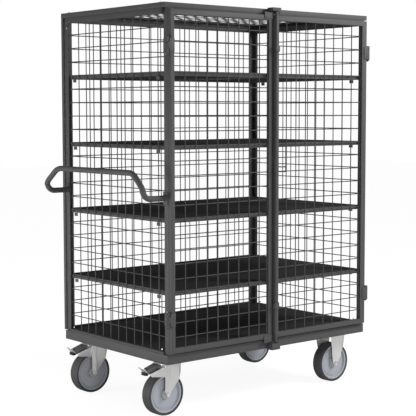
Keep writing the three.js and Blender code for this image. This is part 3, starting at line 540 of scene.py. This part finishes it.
zinc = surfaced("zinc_bright", plating, ZINC, relief=0.00003, Metallic=0.65)


def absorb(shape, part):
    """Moves a finished part into a shape."""
    carrier = bpy.data.meshes.new("carrier")
    part.to_mesh(carrier)
    part.free()
    shape.from_mesh(carrier)
    bpy.data.meshes.remove(carrier)


def pressed_leg(shape, axle, top, out, outline, pressing, turned=1):
    """A leg cut from sheet to its outline, with the strips between its creases pressed in or out."""
    leg = bmesh.new()
    corners = [leg.verts.new((axle.x + turned * x, axle.y + out * LEG_OUTER, top + z)) for x, z in outline]
    face = leg.faces.new(corners)
    grown = bmesh.ops.extrude_face_region(leg, geom=[face])["geom"]
    bmesh.ops.translate(leg, vec=(0, -out * LEG_SHEET, 0), verts=verts_of(grown))
    bmesh.ops.recalc_face_normals(leg, faces=leg.faces)
    eased(leg, [e for e in leg.edges if e.calc_face_angle(0) > SHARP_ANGLE], LEG_EDGE)
    bmesh.ops.triangulate(leg, faces=leg.faces)
    for crease, _ in pressing:
        bmesh.ops.bisect_plane(
            leg, geom=[*leg.verts, *leg.edges, *leg.faces], dist=SEAM_GAP,
            plane_co=(axle.x + turned * crease, 0, 0), plane_no=(1, 0, 0),
        )
    for vert in leg.verts:
        x = turned * (vert.co.x - axle.x)
        for (start, depth), (end, next_depth) in zip(pressing, pressing[1:]):
            if start - SAME_PLACE <= x <= end + SAME_PLACE:
                share = min(1, max(0, (x - start) / (end - start)))
                vert.co.y += out * (depth + (next_depth - depth) * share)
                break
    absorb(shape, leg)


def round_bar(shape, start, end, radius, sides=ROUND_SIDES, edge=BAR_EDGE, socket=0.0):
    """A bar, pin or bolt head between two points, with eased ends and, where asked, a socket in its start."""
    start, end = Vector(start), Vector(end)
    run = end - start
    place = Matrix.Translation((start + end) / 2) @ run.to_track_quat("Z", "Y").to_matrix().to_4x4()
    bar = bmesh.new()
    bmesh.ops.create_cone(
        bar, cap_ends=True, segments=sides, radius1=radius, radius2=radius, depth=run.length, matrix=place,
    )
    rims = [e for e in bar.edges if any(len(f.verts) == sides for f in e.link_faces)]
    eased(bar, rims, edge)
    if socket:
        cap = min(bar.faces, key=lambda face: (face.calc_center_median() - start).length)
        bmesh.ops.inset_region(bar, faces=[cap], thickness=radius * SOCKET_RIM)
        bmesh.ops.translate(bar, vec=run.normalized() * socket, verts=cap.verts)
    absorb(shape, bar)


def axle_bolt(shape, axle):
    """The axle with a round head in front and a hexagon nut behind."""
    half = Vector((0, LEG_OUTER, 0))
    head = Vector((0, BOLT_HEAD, 0))
    round_bar(shape, axle - half, axle + half, AXLE_RADIUS)
    round_bar(shape, axle - half - head, axle - half, BOLT_RADIUS, edge=BOLT_EDGE, socket=SOCKET_DEPTH)
    round_bar(shape, axle + half, axle + half + head, BOLT_RADIUS, HEX_SIDES)


def axle_place(where):
    """The middle of the wheel at one corner of the base."""
    low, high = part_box("wheel_tyre_" + where)
    return (low + high) / 2


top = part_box("base_frame")[0].z
for place in ("front", "back"):
    node = "castor_plate_%s_swivel" % place
    plate_low, plate_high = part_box(node)
    put_in(node + "_pressing", folded(node, TOP_PLATE_EDGE), zinc, "trolley", "zinc", node)

    axle = axle_place(place + "_swivel")
    node = "castor_fork_%s_swivel" % place
    crown_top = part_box(node)[1].z
    shape = bmesh.new()
    for out in (-1, 1):
        pressed_leg(shape, axle, top, out, FORK_OUTLINE, FORK_PRESSING)
    plate(
        shape, (axle.x + CROWN_START, axle.y - LEG_OUTER, crown_top - CROWN_THICK),
        (axle.x + CROWN_END, axle.y + LEG_OUTER, crown_top), CROWN_EDGE,
    )
    axle_bolt(shape, axle)
    put_in(node + "_pressing", shape, zinc, "swivel_" + place, "zinc", node)

    axle = axle_place(place + "_fixed")
    node = "castor_bracket_%s_fixed" % place
    shape = bmesh.new()
    for out in (-1, 1):
        pressed_leg(shape, axle, top, out, BRACKET_OUTLINE, BRACKET_PRESSING, turned=-out)
    reach = (plate_high - plate_low) / 2
    plate(
        shape, (axle.x - reach.x, axle.y - reach.y, plate_high.z - CROWN_THICK),
        (axle.x + reach.x, axle.y + reach.y, plate_high.z), CROWN_EDGE,
    )
    axle_bolt(shape, axle)
    put_in(node + "_pressing", shape, zinc, "trolley", "zinc", node)

# Bolts and screws. Zinc plated round screws hold the hinges to the posts, and hexagon bolts hold the
# end meshes at the foot and the posts to the roof.
SCREW_RADIUS = 0.0038
SCREW_HEAD = 0.0022
SCREW_SIDES = 16
BOLT_HEX_RADIUS = 0.0042
BOLT_HEX_HEAD = 0.0025
HINGE_SCREW_IN = 0.013
HINGE_SCREW_RISE = 0.0325
FOOT_BOLT_IN = 0.053
FOOT_BOLT_RISE = 0.018
HEAD_BOLT_IN = 0.008
HEAD_BOLT_DROPS = (0.022, 0.046)
ROOF_BOLT_X = 0.015
ROOF_BOLT_Y = 0.046
ROOF_BOLT_HEAD = 0.0045


def heads(shape, places, facing, radius, height, sides):
    """Screw or bolt heads at places on the cage, standing out along facing."""
    for place in places:
        round_bar(shape, place, Vector(place) + Vector(facing) * height, radius, sides)


for side, out in (("left", -1), ("right", 1)):
    post_low, post_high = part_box("post_front_" + side)
    outer = post_low.x if out < 0 else post_high.x
    screws = []
    for level in ("lower", "upper"):
        leaf_low, leaf_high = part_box("hinge_%s_%s_post_leaf" % (side, level))
        middle = (leaf_low.z + leaf_high.z) / 2
        screws += [(outer, post_low.y + HINGE_SCREW_IN, middle + HINGE_SCREW_RISE * way) for way in (-1, 1)]
    mesh_low, mesh_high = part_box("end_mesh_" + side)
    outer_mesh = mesh_low.x if out < 0 else mesh_high.x
    foot_y = post_low.y + FOOT_BOLT_IN
    foot_z = mesh_low.z + FOOT_BOLT_RISE
    bolts = [(outer_mesh, y, foot_z) for y in (foot_y, mesh_low.y + mesh_high.y - foot_y)]
    back_low, back_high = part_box("post_back_" + side)
    bolts += [(outer, back_low.y + HEAD_BOLT_IN, back_high.z - drop) for drop in HEAD_BOLT_DROPS]
    roof_low, roof_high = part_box("roof_frame")
    roof_x = roof_low.x + ROOF_BOLT_X if out < 0 else roof_high.x - ROOF_BOLT_X
    roof_bolts = [(roof_x, y, roof_high.z) for y in (roof_low.y + ROOF_BOLT_Y, roof_high.y - ROOF_BOLT_Y)]
    shape = bmesh.new()
    heads(shape, roof_bolts, (0, 0, 1), BOLT_HEX_RADIUS, ROOF_BOLT_HEAD, HEX_SIDES)
    heads(shape, screws, (out, 0, 0), SCREW_RADIUS, SCREW_HEAD, SCREW_SIDES)
    heads(shape, bolts, (out, 0, 0), BOLT_HEX_RADIUS, BOLT_HEX_HEAD, HEX_SIDES)
    put_in("end_fasteners_" + side, shape, zinc, "trolley", "zinc")

# Brake pedals. A dark coated steel arm pinned between the fork legs, with a zinc plated tread riveted
# on its end and a black rubber pad under it.
PEDAL = (0.14, 0.14, 0.150, 1)
PAD = (0.014, 0.014, 0.015, 1)
PIVOT = (-0.040, -0.035)
PIN_RADIUS = 0.004
PIN_END_GAP = 0.001
ARM_HALF = 0.018
PAD_HALF = 0.015
MOULDED_EDGE = 0.0015
TREAD_EDGE = 0.0006
ARM_OUTLINE = [
    (-0.030, -0.040), (-0.031, -0.026), (-0.038, -0.013), (-0.099, -0.033), (-0.094, -0.046),
    (-0.084, -0.052), (-0.060, -0.045),
]
TREAD_OUTLINE = [(-0.1175, -0.0190), (-0.0870, -0.0480), (-0.0890, -0.0510), (-0.1180, -0.0225)]
PAD_OUTLINE = [
    (-0.0965, -0.0440), (-0.0880, -0.0515), (-0.0880, -0.0570), (-0.1040, -0.0570), (-0.1060, -0.0500),
]
moulding = finish_group("moulding", cloud_scale=9.0, cloud=0.08, grain_scale=900, grain=0.05, roughness=0.5)
pedal_coat = surfaced("pedal_coat", moulding, PEDAL, relief=0.00004, Specular_IOR_Level=0.3)
pad_rubber = surfaced("pad_rubber", moulding, PAD, relief=0.00006, Specular_IOR_Level=0.2)


def cut_slab(shape, axle, top, half, outline, edge):
    """A slab cut to an outline in the XZ plane, as wide as two halves across the wheel."""
    slab = bmesh.new()
    corners = [slab.verts.new((axle.x + x, axle.y - half, top + z)) for x, z in outline]
    side = slab.faces.new(corners)
    grown = bmesh.ops.extrude_face_region(slab, geom=[side])["geom"]
    bmesh.ops.translate(slab, vec=(0, half * 2, 0), verts=verts_of(grown))
    bmesh.ops.recalc_face_normals(slab, faces=slab.faces)
    eased(slab, [e for e in slab.edges if e.calc_face_angle(0) > SHARP_ANGLE], edge)
    absorb(shape, slab)


for place in ("front", "back"):
    axle = axle_place(place + "_swivel")
    pin = Vector((axle.x + PIVOT[0], axle.y, top + PIVOT[1]))
    pin_reach = Vector((0, LEG_OUTER - LEG_SHEET - PIN_END_GAP, 0))
    shape = bmesh.new()
    cut_slab(shape, axle, top, ARM_HALF, ARM_OUTLINE, MOULDED_EDGE)
    round_bar(shape, pin - pin_reach, pin + pin_reach, PIN_RADIUS)
    put_in("pedal_arm_" + place, shape, pedal_coat, "pedal_" + place, "pedal", "brake_pedal_" + place)
    shape = bmesh.new()
    cut_slab(shape, axle, top, ARM_HALF, TREAD_OUTLINE, TREAD_EDGE)
    put_in("pedal_tread_" + place, shape, zinc, "pedal_" + place, "zinc")
    shape = bmesh.new()
    cut_slab(shape, axle, top, PAD_HALF, PAD_OUTLINE, MOULDED_EDGE)
    put_in("pedal_pad_" + place, shape, pad_rubber, "pedal_" + place, "pedal")

# Wheels. A grey nylon rim with a raised bead and a deep hub, and a dark grey rubber tyre moulded
# round it.
WHEEL_STEPS = 72
TYRE = (0.050, 0.050, 0.052, 1)
RIM = (0.36, 0.372, 0.415, 1)
TYRE_HALF = [
    (0.0830, 0.0255), (0.0838, 0.0272), (0.0856, 0.0282), (0.0880, 0.0285), (0.0905, 0.0278),
    (0.0924, 0.0260), (0.0935, 0.0230), (0.0939, 0.0180), (0.0940, 0.0100),
]
RIM_HALF = [
    (0.0827, 0.0228), (0.0822, 0.0247), (0.0805, 0.0255), (0.0770, 0.0252), (0.0748, 0.0240),
    (0.0736, 0.0218), (0.0728, 0.0180), (0.0715, 0.0150), (0.0692, 0.0138), (0.0670, 0.0146),
    (0.0656, 0.0163), (0.0636, 0.0170), (0.0320, 0.0170), (0.0275, 0.0165), (0.0255, 0.0150),
    (0.0240, 0.0150), (0.0232, 0.0170), (0.0226, 0.0262), (0.0215, 0.0286), (0.0200, 0.0290),
    (0.0125, 0.0290), (0.0115, 0.0280), (0.0064, 0.0280),
]
rubber_skin = finish_group(
    "rubber", cloud_scale=14.0, cloud=0.12, grain_scale=1500, grain=0.08, roughness=0.62,
)
rubber = surfaced("tyre_rubber", rubber_skin, TYRE, relief=0.00005, Specular_IOR_Level=0.3)
nylon = surfaced("rim_nylon", moulding, RIM, relief=0.00003, IOR=1.5)


def wheel_ring(half, centre):
    """Spins a half profile of (radius, half width), mirrored across the wheel's middle, about the axle."""
    shape = bmesh.new()
    stops = half + [(radius, -width) for radius, width in reversed(half)]
    corners = [shape.verts.new((0, width, radius)) for radius, width in stops]
    loop = [shape.edges.new(pair) for pair in zip(corners, corners[1:] + corners[:1])]
    bmesh.ops.spin(
        shape, geom=corners + loop, cent=(0, 0, 0), axis=(0, 1, 0), dvec=(0, 0, 0),
        angle=math.tau, steps=WHEEL_STEPS, use_merge=True, use_duplicate=False,
    )
    bmesh.ops.remove_doubles(shape, verts=shape.verts, dist=SEAM_GAP)
    bmesh.ops.recalc_face_normals(shape, faces=shape.faces)
    bmesh.ops.translate(shape, vec=centre, verts=shape.verts)
    return shape


for place in ("front", "back"):
    for kind in ("swivel", "fixed"):
        where = "%s_%s" % (place, kind)
        shape = wheel_ring(TYRE_HALF, axle_place(where))
        put_in("tyre_" + where, shape, rubber, "wheel_" + where, "tyre", "wheel_tyre_" + where)
        shape = wheel_ring(RIM_HALF, axle_place(where))
        put_in("rim_" + where, shape, nylon, "wheel_" + where, "rim", "wheel_rim_" + where)

# Floor, backdrop and light. A white studio with a soft lamp high in front on the right and two weaker
# ones low down, on the left and in front. The camera sees the floor and the backdrop white, and all
# other rays meet a pale floor and a dimmer, even surround.
FLOOR_SIZE = 40.0
FLOOR_PALE = (0.80, 0.80, 0.80, 1)
FLOOR_SHADED = (0.20, 0.20, 0.20, 1)
FLOOR_GLOW = 0.91
WHITE = (1, 1, 1, 1)
SURROUND_LEVEL = 0.37
BACKDROP_LEVEL = 1.0
LAMP_SIZE = 1.0
bpy.context.scene.view_settings.view_transform = "Standard"
floor_shape = bmesh.new()
bmesh.ops.create_grid(floor_shape, x_segments=1, y_segments=1, size=FLOOR_SIZE / 2)
floor_mesh = bpy.data.meshes.new("floor")
floor_shape.to_mesh(floor_mesh)
floor_shape.free()
floor = bpy.data.objects.new("floor", floor_mesh)
bpy.context.scene.collection.objects.link(floor)


def split_by_ray(tree, seen, other, output):
    """Puts out one shader for rays from the camera and another for all other rays."""
    rays = tree.nodes.new("ShaderNodeLightPath")
    choose = tree.nodes.new("ShaderNodeMixShader")
    tree.links.new(rays.outputs["Is Camera Ray"], choose.inputs[0])
    tree.links.new(other, choose.inputs[1])
    tree.links.new(seen, choose.inputs[2])
    tree.links.new(choose.outputs["Shader"], output.inputs["Surface"])


floor_white = bpy.data.materials.new("floor_white")
floor_white.use_nodes = True
tree = floor_white.node_tree
tree.nodes.clear()
pale = tree.nodes.new("ShaderNodeBsdfDiffuse")
pale.inputs["Color"].default_value = FLOOR_PALE
shaded_floor = tree.nodes.new("ShaderNodeBsdfDiffuse")
shaded_floor.inputs["Color"].default_value = FLOOR_SHADED
glow = tree.nodes.new("ShaderNodeEmission")
glow.inputs["Strength"].default_value = FLOOR_GLOW
both = tree.nodes.new("ShaderNodeAddShader")
output = tree.nodes.new("ShaderNodeOutputMaterial")
tree.links.new(shaded_floor.outputs["BSDF"], both.inputs[0])
tree.links.new(glow.outputs["Emission"], both.inputs[1])
split_by_ray(tree, both.outputs["Shader"], pale.outputs["BSDF"], output)
floor_mesh.materials.append(floor_white)

world = bpy.data.worlds.new("studio")
world.use_nodes = True
bpy.context.scene.world = world
tree = world.node_tree
tree.nodes.clear()
surround = tree.nodes.new("ShaderNodeBackground")
surround.inputs["Strength"].default_value = SURROUND_LEVEL
backdrop = tree.nodes.new("ShaderNodeBackground")
backdrop.inputs["Strength"].default_value = BACKDROP_LEVEL
for background in (surround, backdrop):
    background.inputs["Color"].default_value = WHITE
output = tree.nodes.new("ShaderNodeOutputWorld")
split_by_ray(tree, backdrop.outputs["Background"], surround.outputs["Background"], output)


def soft_lamp(name, place, aim, power):
    """A square soft box at a place, aimed at a point, that the camera doesn't see."""
    lamp = bpy.data.lights.new(name, "AREA")
    lamp.size = LAMP_SIZE
    lamp.energy = power
    holder = bpy.data.objects.new(name, lamp)
    heading = Vector(aim) - Vector(place)
    holder.matrix_world = Matrix.Translation(place) @ heading.to_track_quat("-Z", "Y").to_matrix().to_4x4()
    holder.visible_camera = False
    bpy.context.scene.collection.objects.link(holder)


soft_lamp("high_right", place=(1.95, -2.35, 2.65), aim=(0.55, -0.4, 1.5), power=94)
soft_lamp("low_left", place=(-2.6, 0.8, 0.35), aim=(-0.5, 0.2, 0.3), power=44)
soft_lamp("low_front", place=(-1.5, -3.2, 0.15), aim=(-0.7, -0.2, 0.1), power=46)
